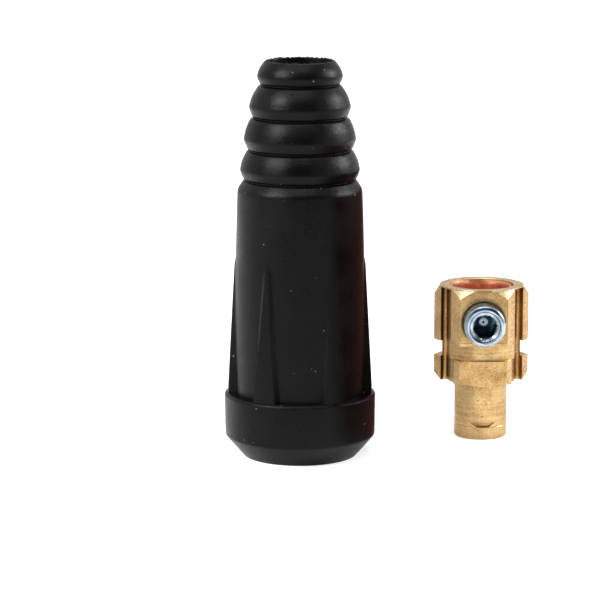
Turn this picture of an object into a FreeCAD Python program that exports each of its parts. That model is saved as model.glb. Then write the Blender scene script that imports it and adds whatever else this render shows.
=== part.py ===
import FreeCAD, Part

import math
import os
from collections import namedtuple

os.makedirs("parts", exist_ok=True)

Vector = FreeCAD.Vector
ORIGIN = Vector(0, 0, 0)
UP = Vector(0, 0, 1)

# Brass contact. The bar is hexagonal, with two corners on the X axis and a flat to the front.
# Lengths are in mm. The pin points down and its tip stands at height zero.
bore_radius = 7.85
bar_wall = 3.85
pin_radius = 6.5
pin_length = 14.3
pin_edge_chamfer = 0.4
contact_height = 38.2
head_foot_cone_width = 1.5
head_foot_cone_height = 1.85
head_top_cone_width = 1.3
head_top_cone_height = 1.95
head_top_ring_height = 0.35
head_top_ring_chamfer = 0.12
groove_wall = 1.85
groove_rise = 6.2
groove_width = 3.8
scribe_line_height = 3.15
scribe_line_depth = 0.12

# Cable bore of the contact, drilled from the top.
bore_floor_rise = 2.2
bore_drill_angle = 118.0
bore_edge_chamfer = 0.2

# Key channels on the two front side faces, with a round bottom and leaning walls.
# The insets are measured from the bar's side corners.
channel_centre_inset = 2.7
channel_centre_depth = 2.0
channel_round_radius = 0.75
channel_wing_width = 1.58
channel_inner_inset = 3.9

# Side relief of the front block below the groove.
block_step_width = 0.64
relief_depth = 1.51

# Locking nose at the tip of the pin, three flats with a ramped notch above.
nose_turn_angle = 2.0
nose_half_width = 1.4
nose_side_half_width = 3.3
notch_top_half_width = 3.2
notch_height = 1.3
notch_depth = 0.9

# Copper liner, a strip rolled into the cable bore. It leans against the bore's wall.
liner_clearance = 0.3
liner_wall = 0.35
liner_foot_gap = 0.05
liner_top_gap = 0.4
liner_lean_gap = 0.058
liner_lean_angle = 128.3
liner_slit_offset = 0.2
liner_slit_width = 0.15
liner_corner_width = 1.15
liner_corner_depth = 1.3

# Clamp screw, a metric ten set screw with its axis to the front.
screw_drop = 8.0
screw_radius = 5.0
screw_length = 8.3
screw_tip_gap = 0.27
screw_hole_clearance = 0.05
thread_pitch = 1.5
thread_depth = 0.92
thread_root_width = 0.2
thread_crest_width = 0.19
screw_front_chamfer = 0.7
screw_land_width = 0.2
screw_tip_chamfer = 0.9
screw_tip_wall = 0.95
socket_across_flats = 5.3
socket_turn_angle = 7.5
socket_mouth_step = 0.3
socket_mouth_depth = 0.65
socket_cone_depth = 0.55
socket_disc_radius = 1.05
socket_dimple_radius = 0.3
socket_dimple_depth = 0.2
countersink_width = 0.5

# Inside of the rubber sleeve, which takes the contact with these clearances.
seat_clearance = 0.15
seat_ring_clearance = 0.15
seat_end_gap = 0.3
key_lead_length = 1.5
mouth_clearance = 0.9
throat_ledge_width = 0.68
throat_length = 8.0
passage_radius = 7.8
passage_edge_chamfer = 0.35

# Outside of the sleeve. It stands on its wide mouth, cable end up.
# The walls of the body are measured from the corners of the seat.
sleeve_height = 95.7
mouth_face_width = 1.0
collar_foot_height = 5.15
collar_taper_width = 0.15
collar_step_width = 2.5
collar_top_height = 15.5
collar_edge_radius = 0.8
body_foot_wall = 3.9
body_middle_wall = 3.65
body_middle_height = 46.0
body_top_wall = 3.1
shoulder_height = 2.3
shoulder_wall = 1.75
shoulder_bulge_depth = 0.35
shoulder_groove_width = 0.45

# Four soft rolls that let the cable end bend, numbered from the cable end down.
# Each one leans outwards to its belly, then turns in to its foot, with a groove below it.
# Their walls are measured from the cable passage, and the belly from the roll's foot.
roll_1_height = 5.45
roll_1_groove_width = 0.3
roll_1_top_wall = 0.6
roll_1_belly_wall = 2.5
roll_1_belly_height = 1.55
roll_1_foot_wall = 1.85
roll_1_bulge_depth = 0.38
roll_2_height = 7.55
roll_2_groove_width = 0.55
roll_2_top_wall = 2.05
roll_2_belly_wall = 4.4
roll_2_belly_height = 2.1
roll_2_foot_wall = 3.65
roll_2_bulge_depth = 0.45
roll_3_height = 7.25
roll_3_groove_width = 0.5
roll_3_top_wall = 4.0
roll_3_belly_wall = 5.67
roll_3_belly_height = 2.2
roll_3_foot_wall = 4.75
roll_3_bulge_depth = 0.3
roll_4_height = 6.55
roll_4_top_wall = 4.95
roll_4_belly_wall = 6.58
roll_4_belly_height = 1.85
roll_4_foot_wall = 5.8
roll_4_bulge_depth = 0.32
roll_foot_bulge_depth = 0.22
roll_groove_depth = 0.6

# Six grip ribs above the collar, triangular from the front, with flat outer faces.
rib_count = 6
rib_first_angle = -60.0
rib_foot_width = 5.7
rib_tip_width = 1.0
rib_foot_proud_depth = 1.75
rib_tip_proud_depth = 0.22
rib_tip_height = 47.0
rib_sink_depth = 1.0
rib_root_wall = 0.4

# The contact stands beside the sleeve and a little behind it.
stand_gap = 15.0
stand_back_length = 20.0

# How far a cutting body reaches past the surface that it opens.
overrun_length = 1.0
wide_overrun_length = 3.0

# Derived sizes of the contact.
bar_corner_radius = bore_radius + bar_wall
bar_apothem = bar_corner_radius * math.cos(math.radians(30))
head_foot_height = pin_length
head_foot_radius = bar_corner_radius - head_foot_cone_width
head_top_ring_radius = bar_corner_radius - head_top_cone_width
head_top_ring_foot = contact_height - head_top_ring_height
groove_floor_radius = bore_radius + groove_wall
groove_low = head_foot_height + groove_rise
groove_high = groove_low + groove_width
bore_floor_height = head_foot_height + bore_floor_rise
channel_centre_x = bar_corner_radius - channel_centre_inset
channel_wing_x = bar_corner_radius - channel_wing_width
channel_inner_x = bar_corner_radius - channel_inner_inset
block_half_width = channel_inner_x - block_step_width
relief_distance = bar_apothem - relief_depth
notch_top_height = scribe_line_height + notch_height

# Derived sizes of the liner and the screw.
liner_outer_radius = bore_radius - liner_clearance
liner_inner_radius = liner_outer_radius - liner_wall
liner_foot = bore_floor_height + liner_foot_gap
liner_top = contact_height - liner_top_gap
liner_lean = liner_clearance - liner_lean_gap
liner_offset_x = liner_lean * math.cos(math.radians(liner_lean_angle))
liner_offset_y = liner_lean * math.sin(math.radians(liner_lean_angle))
screw_height = contact_height - screw_drop
screw_tip = liner_outer_radius - liner_offset_y + screw_tip_gap
screw_hole_radius = screw_radius + screw_hole_clearance
countersink_radius = screw_hole_radius + countersink_width
thread_root_radius = screw_radius - thread_depth
socket_mouth_radius = screw_radius - screw_front_chamfer - screw_land_width
socket_mouth_floor_radius = socket_across_flats / 2 + socket_mouth_step
socket_cone_foot = screw_tip_wall + socket_dimple_depth
socket_cone_top = socket_cone_foot + socket_cone_depth

# Derived sizes of the sleeve.
mouth_radius = bar_corner_radius + mouth_clearance
mouth_depth = head_foot_height - seat_end_gap
seat_apothem = bar_apothem + seat_clearance
seat_corner_radius = bar_corner_radius + seat_clearance
seat_top = contact_height + seat_end_gap
throat_radius = seat_apothem - throat_ledge_width
throat_top = seat_top + throat_length
mouth_face_radius = mouth_radius + mouth_face_width
body_foot_radius = seat_corner_radius + body_foot_wall
body_middle_radius = seat_corner_radius + body_middle_wall
body_top_radius = seat_corner_radius + body_top_wall
shoulder_radius = seat_corner_radius + shoulder_wall
collar_top_radius = body_foot_radius + collar_step_width
collar_foot_radius = collar_top_radius - collar_taper_width
rib_root_radius = mouth_radius + rib_root_wall
rib_foot_radius = body_foot_radius + rib_foot_proud_depth
rib_tip_radius = body_middle_radius + rib_tip_proud_depth
contact_x = collar_top_radius + stand_gap + bar_corner_radius
contact_y = stand_back_length

Roll = namedtuple("Roll", "height groove_width top_wall belly_wall belly_height foot_wall bulge_depth")
rolls = [
    Roll(roll_1_height, roll_1_groove_width, roll_1_top_wall, roll_1_belly_wall,
         roll_1_belly_height, roll_1_foot_wall, roll_1_bulge_depth),
    Roll(roll_2_height, roll_2_groove_width, roll_2_top_wall, roll_2_belly_wall,
         roll_2_belly_height, roll_2_foot_wall, roll_2_bulge_depth),
    Roll(roll_3_height, roll_3_groove_width, roll_3_top_wall, roll_3_belly_wall,
         roll_3_belly_height, roll_3_foot_wall, roll_3_bulge_depth),
    Roll(roll_4_height, shoulder_groove_width, roll_4_top_wall, roll_4_belly_wall,
         roll_4_belly_height, roll_4_foot_wall, roll_4_bulge_depth),
]
rolls_height = sum(roll.height + roll.groove_width for roll in rolls)
shoulder_start_height = sleeve_height - rolls_height
body_top_height = shoulder_start_height - shoulder_height


def point(radius, height):
    return Vector(radius, 0, height)


def line(start, end):
    return Part.LineSegment(start, end).toShape()


def bulged(start, end, bulge):
    """Arc between two profile points, bowed outwards by the given amount."""
    chord = end - start
    side = Vector(-chord.z, 0, chord.x)
    side.normalize()
    if side.x < 0:
        side = side * -1
    middle = (start + end) * 0.5 + side * bulge
    return Part.Arc(start, middle, end).toShape()


def revolved(edges):
    """Solid of revolution about Z of a closed profile in the XZ plane."""
    face = Part.Face(Part.Wire(edges))
    return face.revolve(ORIGIN, UP, 360)


def revolved_points(points):
    closed = points + [points[0]]
    edges = [line(closed[i], closed[i + 1]) for i in range(len(points))]
    return revolved(edges)


def prism(corners, low, high):
    """Upright prism over a closed polygon of (x, y) corners."""
    points = [Vector(x, y, low) for x, y in corners]
    wire = Part.makePolygon(points + [points[0]])
    return Part.Face(wire).extrude(Vector(0, 0, high - low))


def hexagon(apothem, low, high):
    """Hexagonal prism with two corners on the X axis."""
    radius = apothem / math.cos(math.radians(30))
    angles = [math.radians(60 * i) for i in range(6)]
    return prism([(radius * math.cos(a), radius * math.sin(a)) for a in angles], low, high)


def lofted(low_corners, low, high_corners, high):
    """Solid with straight sides between two level polygons."""
    wires = []
    for corners, height in ((low_corners, low), (high_corners, high)):
        points = [Vector(x, y, height) for x, y in corners]
        wires.append(Part.makePolygon(points + [points[0]]))
    return Part.makeLoft(wires, True, True)


def turned_about_z(shape, degrees):
    copy = shape.copy()
    copy.rotate(ORIGIN, UP, degrees)
    return copy


def quarter_bulge(radius):
    """How far a quarter circle bows out of its chord."""
    return radius * (1 - math.cos(math.radians(45)))


def sleeve_outside():
    edges = []
    mouth_edge = point(mouth_face_radius, 0)
    collar_foot = point(collar_foot_radius, collar_foot_height)
    collar_side_top = point(collar_top_radius, collar_top_height - collar_edge_radius)
    collar_land = point(collar_top_radius - collar_edge_radius, collar_top_height)
    body_foot = point(body_foot_radius, collar_top_height)
    body_middle = point(body_middle_radius, body_middle_height)
    body_top = point(body_top_radius, body_top_height)
    shoulder = point(shoulder_radius, shoulder_start_height)
    edges.append(line(point(0, 0), mouth_edge))
    edges.append(line(mouth_edge, collar_foot))
    edges.append(line(collar_foot, collar_side_top))
    edges.append(bulged(collar_side_top, collar_land, quarter_bulge(collar_edge_radius)))
    edges.append(line(collar_land, body_foot))
    edges.append(Part.Arc(body_foot, body_middle, body_top).toShape())
    edges.append(bulged(body_top, shoulder, shoulder_bulge_depth))
    last = shoulder
    for roll in reversed(rolls):
        foot = point(passage_radius + roll.foot_wall, last.z + roll.groove_width)
        belly = point(passage_radius + roll.belly_wall, foot.z + roll.belly_height)
        top = point(passage_radius + roll.top_wall, foot.z + roll.height)
        groove = point(min(last.x, foot.x) - roll_groove_depth, (last.z + foot.z) / 2)
        edges.append(line(last, groove))
        edges.append(line(groove, foot))
        edges.append(bulged(foot, belly, roll_foot_bulge_depth))
        edges.append(bulged(belly, top, roll.bulge_depth))
        last = top
    edges.append(line(last, point(0, last.z)))
    edges.append(line(point(0, last.z), point(0, 0)))
    return revolved(edges)


def grip_rib():
    """One rib pointing along +X, wide at the collar and running out upwards."""
    half_foot = rib_foot_width / 2
    half_tip = rib_tip_width / 2
    foot = [
        (rib_root_radius, -half_foot),
        (rib_foot_radius, -half_foot),
        (rib_foot_radius, half_foot),
        (rib_root_radius, half_foot),
    ]
    tip = [
        (rib_root_radius, -half_tip),
        (rib_tip_radius, -half_tip),
        (rib_tip_radius, half_tip),
        (rib_root_radius, half_tip),
    ]
    return lofted(foot, collar_top_height - rib_sink_depth, tip, rib_tip_height)


def channel_outline(side, clearance):
    """Section of a key channel, as a face at height zero. A positive clearance makes it smaller."""
    round_radius = channel_round_radius - clearance
    centre = Vector(side * channel_centre_x, -channel_centre_depth, 0)
    wing_y = -(bar_corner_radius - channel_wing_x) * math.tan(math.radians(60))
    inner_y = -(bar_corner_radius - channel_inner_x) * math.tan(math.radians(60))
    wing_top = Vector(side * (channel_wing_x - clearance), wing_y, 0)
    inner_top = Vector(side * (channel_inner_x + clearance), inner_y, 0)
    wing_out = Vector(wing_top.x, inner_top.y - wide_overrun_length, 0)
    inner_out = Vector(inner_top.x, wing_out.y, 0)
    wing_low = Vector(centre.x + side * round_radius, centre.y, 0)
    inner_low = Vector(centre.x - side * round_radius, centre.y, 0)
    floor = Vector(centre.x, centre.y + round_radius, 0)
    edges = [
        line(wing_out, wing_top),
        line(wing_top, wing_low),
        Part.Arc(wing_low, floor, inner_low).toShape(),
        line(inner_low, inner_top),
        line(inner_top, inner_out),
        line(inner_out, wing_out),
    ]
    return Part.Face(Part.Wire(edges))


def channel(side, low, high, clearance):
    face = channel_outline(side, clearance)
    face.translate(Vector(0, 0, low))
    return face.extrude(Vector(0, 0, high - low))


def sleeve_inside():
    """Everything that is hollow in the sleeve, as one solid."""
    mouth = revolved_points([
        point(0, -overrun_length),
        point(mouth_radius, -overrun_length),
        point(mouth_radius, mouth_depth),
        point(0, mouth_depth),
    ])
    seat = hexagon(seat_apothem, mouth_depth - overrun_length, seat_top)
    seat = seat.common(Part.makeCylinder(seat_corner_radius, seat_top))
    ring_foot = Vector(0, 0, groove_low + seat_ring_clearance)
    ring_height = groove_width - 2 * seat_ring_clearance
    ring_outside = Part.makeCylinder(seat_corner_radius + overrun_length, ring_height, ring_foot)
    ring_bore = Part.makeCylinder(groove_floor_radius + seat_ring_clearance, ring_height, ring_foot)
    seat = seat.cut(ring_outside.cut(ring_bore))
    key_low = mouth_depth + key_lead_length
    key_high = head_top_ring_foot - seat_end_gap
    for side in (-1, 1):
        seat = seat.cut(channel(side, key_low, key_high, seat_clearance))
    passage = revolved_points([
        point(0, seat_top - overrun_length),
        point(throat_radius, seat_top - overrun_length),
        point(throat_radius, seat_top),
        point(passage_radius, throat_top),
        point(passage_radius, sleeve_height - passage_edge_chamfer),
        point(passage_radius + passage_edge_chamfer, sleeve_height),
        point(passage_radius + passage_edge_chamfer, sleeve_height + overrun_length),
        point(0, sleeve_height + overrun_length),
    ])
    return mouth.fuse([seat, passage])


def make_rubber_sleeve():
    rib = grip_rib()
    ribs = [turned_about_z(rib, rib_first_angle + i * 360 / rib_count) for i in range(rib_count)]
    outside = sleeve_outside().fuse(ribs).removeSplitter()
    return outside.cut(sleeve_inside()).removeSplitter()


def contact_turned_shape():
    """The contact as the lathe leaves it, before the bar's flats are taken into account."""
    beyond = bar_corner_radius + overrun_length
    foot_slope = head_foot_cone_height / head_foot_cone_width
    top_slope = head_top_cone_height / head_top_cone_width
    return revolved_points([
        point(0, head_foot_height),
        point(head_foot_radius, head_foot_height),
        point(beyond, head_foot_height + (beyond - head_foot_radius) * foot_slope),
        point(beyond, groove_low),
        point(groove_floor_radius, groove_low),
        point(groove_floor_radius, groove_high),
        point(beyond, groove_high),
        point(beyond, head_top_ring_foot - (beyond - head_top_ring_radius) * top_slope),
        point(head_top_ring_radius, head_top_ring_foot),
        point(head_top_ring_radius, contact_height - head_top_ring_chamfer),
        point(head_top_ring_radius - head_top_ring_chamfer, contact_height),
        point(0, contact_height),
    ])


def contact_pin():
    return revolved_points([
        point(0, 0),
        point(pin_radius - pin_edge_chamfer, 0),
        point(pin_radius, pin_edge_chamfer),
        point(pin_radius, scribe_line_height - scribe_line_depth),
        point(pin_radius - scribe_line_depth, scribe_line_height),
        point(pin_radius, scribe_line_height + scribe_line_depth),
        point(pin_radius, head_foot_height + overrun_length),
        point(0, head_foot_height + overrun_length),
    ])


def pin_front(half_width):
    """Distance from the axis to the pin's surface, measured to the front, at this half width."""
    return math.sqrt(pin_radius ** 2 - half_width ** 2)


def front_plate(half_width, depth):
    """Corners of a block in front of the pin that reaches in to this depth."""
    out = pin_radius + overrun_length
    return [(-half_width, -depth), (half_width, -depth), (half_width, -out), (-half_width, -out)]


def nose_cuts():
    """Flats of the locking nose and the notch above it, on the front of the pin."""
    front = pin_front(nose_half_width)
    side = pin_front(nose_side_half_width)
    out = pin_radius + overrun_length
    outline = [
        (-nose_side_half_width, -side),
        (-nose_half_width, -front),
        (nose_half_width, -front),
        (nose_side_half_width, -side),
        (nose_side_half_width, -out),
        (-nose_side_half_width, -out),
    ]
    flats = prism(outline, -overrun_length, scribe_line_height)
    low = front_plate(nose_half_width, front - notch_depth)
    high = front_plate(notch_top_half_width, pin_front(notch_top_half_width))
    notch = lofted(low, scribe_line_height, high, notch_top_height)
    return turned_about_z(flats.fuse(notch), nose_turn_angle)


def block_relief(side):
    """Relief beside the front block, its floor level with the side face but set deeper."""
    slope = math.tan(math.radians(60))
    floor_at_zero = relief_distance / math.cos(math.radians(60))
    inner_y = block_half_width * slope - floor_at_zero
    outer_y = channel_centre_x * slope - floor_at_zero
    out = -bar_apothem - overrun_length
    corners = [
        (side * block_half_width, inner_y),
        (side * channel_centre_x, outer_y),
        (side * channel_centre_x, out),
        (side * block_half_width, out),
    ]
    return prism(corners, head_foot_height - overrun_length, groove_low)


def cable_bore():
    tip_drop = bore_radius / math.tan(math.radians(bore_drill_angle / 2))
    return revolved_points([
        point(0, bore_floor_height - tip_drop),
        point(bore_radius, bore_floor_height),
        point(bore_radius, contact_height - bore_edge_chamfer),
        point(bore_radius + bore_edge_chamfer, contact_height),
        point(bore_radius + bore_edge_chamfer, contact_height + overrun_length),
        point(0, contact_height + overrun_length),
    ])


def to_front(shape):
    """Swings a shape made along +Z so that it lies along -Y at the height of the screw."""
    copy = shape.copy()
    copy.rotate(ORIGIN, Vector(1, 0, 0), 90)
    copy.translate(Vector(0, 0, screw_height))
    return copy


def screw_hole():
    hole = revolved_points([
        point(0, 0),
        point(screw_hole_radius, 0),
        point(screw_hole_radius, bar_apothem - countersink_width),
        point(countersink_radius, bar_apothem),
        point(countersink_radius, bar_apothem + overrun_length),
        point(0, bar_apothem + overrun_length),
    ])
    return to_front(hole)


def make_brass_contact():
    bar = hexagon(bar_apothem, head_foot_height - overrun_length, contact_height + overrun_length)
    head = contact_turned_shape().common(bar)
    for side in (-1, 1):
        head = head.cut(channel(side, head_foot_height - overrun_length, head_top_ring_foot, 0))
        head = head.cut(block_relief(side))
    pin = contact_pin().cut(nose_cuts())
    contact = head.fuse(pin)
    contact = contact.cut(cable_bore())
    return contact.cut(screw_hole()).removeSplitter()


def thread_groove():
    """The space between the thread's turns, wound a little past both ends of the screw."""
    flank = (thread_pitch - thread_crest_width - thread_root_width) / 2
    flank_slope = flank / thread_depth
    outside = screw_radius + screw_hole_clearance
    half_outside = thread_root_width / 2 + flank_slope * (outside - thread_root_radius)
    start = -thread_pitch
    length = screw_length + 2 * thread_pitch
    corners = [
        Vector(outside, 0, start - half_outside),
        Vector(thread_root_radius, 0, start - thread_root_width / 2),
        Vector(thread_root_radius, 0, start + thread_root_width / 2),
        Vector(outside, 0, start + half_outside),
    ]
    section = Part.makePolygon(corners + [corners[0]])
    helix = Part.makeHelix(thread_pitch, length, screw_radius)
    helix.translate(Vector(0, 0, start))
    return Part.Wire(helix.Edges).makePipeShell([section], True, True)


def screw_socket():
    """Hexagon socket with a countersunk mouth and a drilled bottom."""
    flats = hexagon(socket_across_flats / 2, socket_cone_top, screw_length + overrun_length)
    flats = turned_about_z(flats, socket_turn_angle)
    bottom = revolved_points([
        point(0, socket_cone_foot - socket_dimple_depth),
        point(socket_dimple_radius, socket_cone_foot),
        point(socket_disc_radius, socket_cone_foot),
        point(socket_across_flats / 2, socket_cone_top),
        point(socket_across_flats / 2, socket_cone_top + overrun_length),
        point(0, socket_cone_top + overrun_length),
    ])
    mouth = revolved_points([
        point(0, screw_length - socket_mouth_depth),
        point(socket_mouth_floor_radius, screw_length - socket_mouth_depth),
        point(socket_mouth_radius, screw_length),
        point(socket_mouth_radius, screw_length + overrun_length),
        point(0, screw_length + overrun_length),
    ])
    return flats.fuse([bottom, mouth])


def make_clamp_screw():
    """Set screw made along +Z with its socket at the top, then swung to the front."""
    blank = revolved_points([
        point(0, 0),
        point(screw_radius - screw_tip_chamfer, 0),
        point(screw_radius, screw_tip_chamfer),
        point(screw_radius, screw_length - screw_front_chamfer),
        point(screw_radius - screw_front_chamfer, screw_length),
        point(0, screw_length),
    ])
    rod = Part.makeCylinder(screw_radius, screw_length)
    screw = rod.cut(thread_groove()).common(blank).cut(screw_socket())
    screw.translate(Vector(0, 0, screw_tip))
    return to_front(screw)


def make_copper_liner():
    height = liner_top - liner_foot
    ring = Part.makeCylinder(liner_outer_radius, height, Vector(0, 0, liner_foot))
    ring = ring.cut(Part.makeCylinder(liner_inner_radius, height, Vector(0, 0, liner_foot)))
    left = liner_slit_offset
    right = left + liner_slit_width
    front = liner_inner_radius - overrun_length
    back = liner_outer_radius + overrun_length
    slit = prism([(left, front), (right, front), (right, back), (left, back)], liner_foot, liner_top)
    corner_points = [
        Vector(right, front, liner_top),
        Vector(left - liner_corner_width, front, liner_top),
        Vector(left, front, liner_top - liner_corner_depth),
        Vector(right, front, liner_top - liner_corner_depth),
    ]
    corner = Part.Face(Part.makePolygon(corner_points + [corner_points[0]]))
    ring = ring.cut(slit.fuse(corner.extrude(Vector(0, back - front, 0))))
    ring.translate(Vector(liner_offset_x, liner_offset_y, 0))
    return ring.removeSplitter()


def write(name, shape, at=ORIGIN):
    copy = shape.copy()
    copy.translate(at)
    solids = copy.Solids
    if len(solids) == 1:
        copy = solids[0]
    if not copy.isValid():
        raise RuntimeError(name + " isn't a valid shape")
    copy.exportStep(os.path.join("parts", name + ".step"))
    box = copy.optimalBoundingBox()
    print(name, "solids", len(solids), "volume %.1f mm3" % copy.Volume,
          "size %.1f x %.1f x %.1f" % (box.XLength, box.YLength, box.ZLength))


contact_place = Vector(contact_x, contact_y, 0)
write("rubber_sleeve", make_rubber_sleeve())
write("brass_contact", make_brass_contact(), contact_place)
write("copper_liner", make_copper_liner(), contact_place)
write("clamp_screw", make_clamp_screw(), contact_place)
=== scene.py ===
"""Welding cable plug, taken apart: the rubber sleeve with its brass contact standing beside it."""

import logging
import math
from dataclasses import dataclass
from enum import Enum
from typing import Callable, Iterable, Sequence

import bmesh
import bpy
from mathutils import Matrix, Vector
from mathutils.bvhtree import BVHTree


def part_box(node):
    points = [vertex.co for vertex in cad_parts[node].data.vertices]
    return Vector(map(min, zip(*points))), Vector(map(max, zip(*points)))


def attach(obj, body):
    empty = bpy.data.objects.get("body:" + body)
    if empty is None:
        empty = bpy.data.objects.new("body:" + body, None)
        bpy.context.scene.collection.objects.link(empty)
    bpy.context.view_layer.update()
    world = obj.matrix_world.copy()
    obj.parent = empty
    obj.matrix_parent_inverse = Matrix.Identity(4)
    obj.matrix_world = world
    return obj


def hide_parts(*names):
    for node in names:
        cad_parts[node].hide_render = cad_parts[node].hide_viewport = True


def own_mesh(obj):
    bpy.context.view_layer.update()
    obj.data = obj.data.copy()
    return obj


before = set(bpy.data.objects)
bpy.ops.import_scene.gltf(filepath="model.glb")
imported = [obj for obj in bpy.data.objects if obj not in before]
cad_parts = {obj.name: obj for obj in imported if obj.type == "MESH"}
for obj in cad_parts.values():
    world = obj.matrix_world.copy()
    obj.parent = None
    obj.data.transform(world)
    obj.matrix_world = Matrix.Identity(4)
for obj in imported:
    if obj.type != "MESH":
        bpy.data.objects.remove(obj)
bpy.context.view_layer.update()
log = logging.getLogger("plug")

MM = 0.001
PLUG_PARTS = "plug_parts"
SCREW = "screw"
MERGE_DISTANCE = 2e-6

Colour = tuple[float, float, float]
Test = Callable[[Vector], bool]
Value = object


def choose(piece: bpy.types.Object) -> None:
    """Makes one piece the active and only selected one."""
    bpy.ops.object.select_all(action="DESELECT")
    bpy.context.view_layer.objects.active = piece
    piece.select_set(True)


class Editing:
    """Edit mode on one piece, for a with statement. It starts with nothing selected."""

    def __init__(self, piece: bpy.types.Object) -> None:
        """Remembers the piece to edit."""
        self.piece = piece

    def __enter__(self) -> None:
        """Enters edit mode."""
        choose(self.piece)
        bpy.ops.object.mode_set(mode="EDIT")
        bpy.ops.mesh.select_mode(type="VERT")
        bpy.ops.mesh.select_all(action="DESELECT")

    def __exit__(self, *_: object) -> None:
        """Goes back to object mode."""
        bpy.ops.object.mode_set(mode="OBJECT")


def pick(piece: bpy.types.Object, test: Test) -> None:
    """Selects the vertices whose place passes a test, and what lies between them, in edit mode."""
    bpy.ops.object.mode_set(mode="OBJECT")
    mesh = piece.data
    for vertex in mesh.vertices:
        vertex.select = test(vertex.co)
    for edge in mesh.edges:
        edge.select = all(mesh.vertices[i].select for i in edge.vertices)
    for face in mesh.polygons:
        face.select = all(mesh.vertices[i].select for i in face.vertices)
    bpy.ops.object.mode_set(mode="EDIT")


def finish_modifier(piece: bpy.types.Object, modifier: bpy.types.Modifier) -> None:
    """Applies a modifier to its piece."""
    choose(piece)
    bpy.ops.object.modifier_apply(modifier=modifier.name)


def close_seams(piece: bpy.types.Object, distance: float = MERGE_DISTANCE) -> None:
    """Merges doubled vertices and points every face outwards."""
    with Editing(piece):
        bpy.ops.mesh.select_all(action="SELECT")
        bpy.ops.mesh.remove_doubles(threshold=distance)
        bpy.ops.mesh.normals_make_consistent(inside=False)


def smooth(piece: bpy.types.Object, degrees: float = 35.0) -> None:
    """Shades a piece smooth, but keeps edges sharper than this angle crisp."""
    choose(piece)
    bpy.ops.object.shade_smooth_by_angle(angle=math.radians(degrees))


def settle(piece: bpy.types.Object) -> None:
    """Puts a piece's place, turn and size into its mesh, so that its object stays at the origin."""
    choose(piece)
    bpy.ops.object.transform_apply(location=True, rotation=True, scale=True)


def fillet(before: Vector, corner: Vector, after: Vector, radius: float, steps: int) -> list[Vector]:
    """Rounds one corner of an outline.

    Args:
        before: the point before the corner.
        corner: the corner itself.
        after: the point after it.
        radius: the radius of the round, made smaller where the sides are too short.
        steps: how many pieces the round has.

    Returns:
        The points that take the corner's place.
    """
    to_before = (before - corner).normalized()
    to_after = (after - corner).normalized()
    half = to_before.angle(to_after) / 2
    if radius <= 0 or half > math.radians(88):
        return [corner]
    room = 0.48 * min((before - corner).length, (after - corner).length)
    reach = min(radius / math.tan(half), room)
    centre = corner + (to_before + to_after).normalized() * (reach / math.cos(half))
    arm = (corner + to_before * reach - centre).length
    start = (corner + to_before * reach - centre).normalized()
    end = (corner + to_after * reach - centre).normalized()
    return [centre + start.slerp(end, i / steps) * arm for i in range(steps + 1)]


@dataclass(frozen=True)
class Corner:
    """One corner of a turned outline.

    Attributes:
        radius: distance from the axis.
        height: height above the floor.
        rounding: radius of the round at this corner, or nothing for a sharp one.
    """

    radius: float
    height: float
    rounding: float = 0.0


def rounded(corners: Sequence[Corner], steps: int = 5) -> list[Vector]:
    """Turns a closed ring of corners into the points of its rounded outline.

    Args:
        corners: the outline's corners in order.
        steps: how many pieces each round has.

    Returns:
        Points in the XZ plane.
    """
    flat = [Vector((c.radius, 0, c.height)) for c in corners]
    points: list[Vector] = []
    for i, corner in enumerate(corners):
        before = flat[i - 1]
        after = flat[(i + 1) % len(flat)]
        points.extend(fillet(before, flat[i], after, corner.rounding, steps))
    return points


def bowed(start: Corner, end: Corner, bulge: float) -> Corner:
    """A corner halfway between two others that makes the side between them bow out.

    Args:
        start: where the side starts.
        end: where it ends.
        bulge: how far its middle stands out from the straight line.

    Returns:
        The corner in the middle, with a round as large as the side allows.
    """
    a = Vector((start.radius, 0, start.height))
    b = Vector((end.radius, 0, end.height))
    out = Vector((b.z - a.z, 0, a.x - b.x)).normalized()
    if out.x < 0:
        out.negate()
    middle = (a + b) / 2 + out * bulge
    return Corner(middle.x, middle.z, (b - a).length * 2)


def lathe(name: str, points: Sequence[Vector], turns: int) -> bpy.types.Object:
    """Draws a closed outline point by point and spins it round the Z axis.

    Args:
        name: the piece's name.
        points: the outline in the XZ plane, in order.
        turns: how many steps the full turn has.

    Returns:
        The turned piece.
    """
    bpy.ops.mesh.primitive_plane_add(size=MM)
    piece = bpy.context.object
    piece.name = name
    with Editing(piece):
        bpy.ops.mesh.select_all(action="SELECT")
        bpy.ops.mesh.merge(type="CENTER")
        bpy.ops.transform.translate(value=points[0])
        for last, point in zip(points, points[1:]):
            bpy.ops.mesh.extrude_vertices_move(TRANSFORM_OT_translate={"value": point - last})
        bpy.ops.mesh.select_all(action="DESELECT")
    ends = (points[0], points[-1])
    with Editing(piece):
        pick(piece, lambda place: any((place - end).length < 1e-7 for end in ends))
        bpy.ops.mesh.edge_face_add()
        bpy.ops.mesh.select_all(action="SELECT")
        bpy.ops.mesh.spin(steps=turns, angle=math.tau, center=(0, 0, 0), axis=(0, 0, 1))
    close_seams(piece)
    return piece


def prism(name: str, sides: int, radius: float, low: float, high: float) -> bpy.types.Object:
    """An upright prism on the Z axis, with its first corner on +X.

    Args:
        name: the piece's name.
        sides: how many sides it has.
        radius: distance from the axis to a corner.
        low: height of its foot.
        high: height of its top.

    Returns:
        The prism.
    """
    middle = (low + high) / 2
    bpy.ops.mesh.primitive_cylinder_add(vertices=sides, radius=radius, depth=high - low,
                                        location=(0, 0, middle), rotation=(0, 0, math.radians(90)))
    piece = bpy.context.object
    piece.name = name
    settle(piece)
    return piece


class Joining(Enum):
    """How one piece is worked into another."""

    ADD = "UNION"
    CUT = "DIFFERENCE"
    KEEP_COMMON = "INTERSECT"


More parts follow.
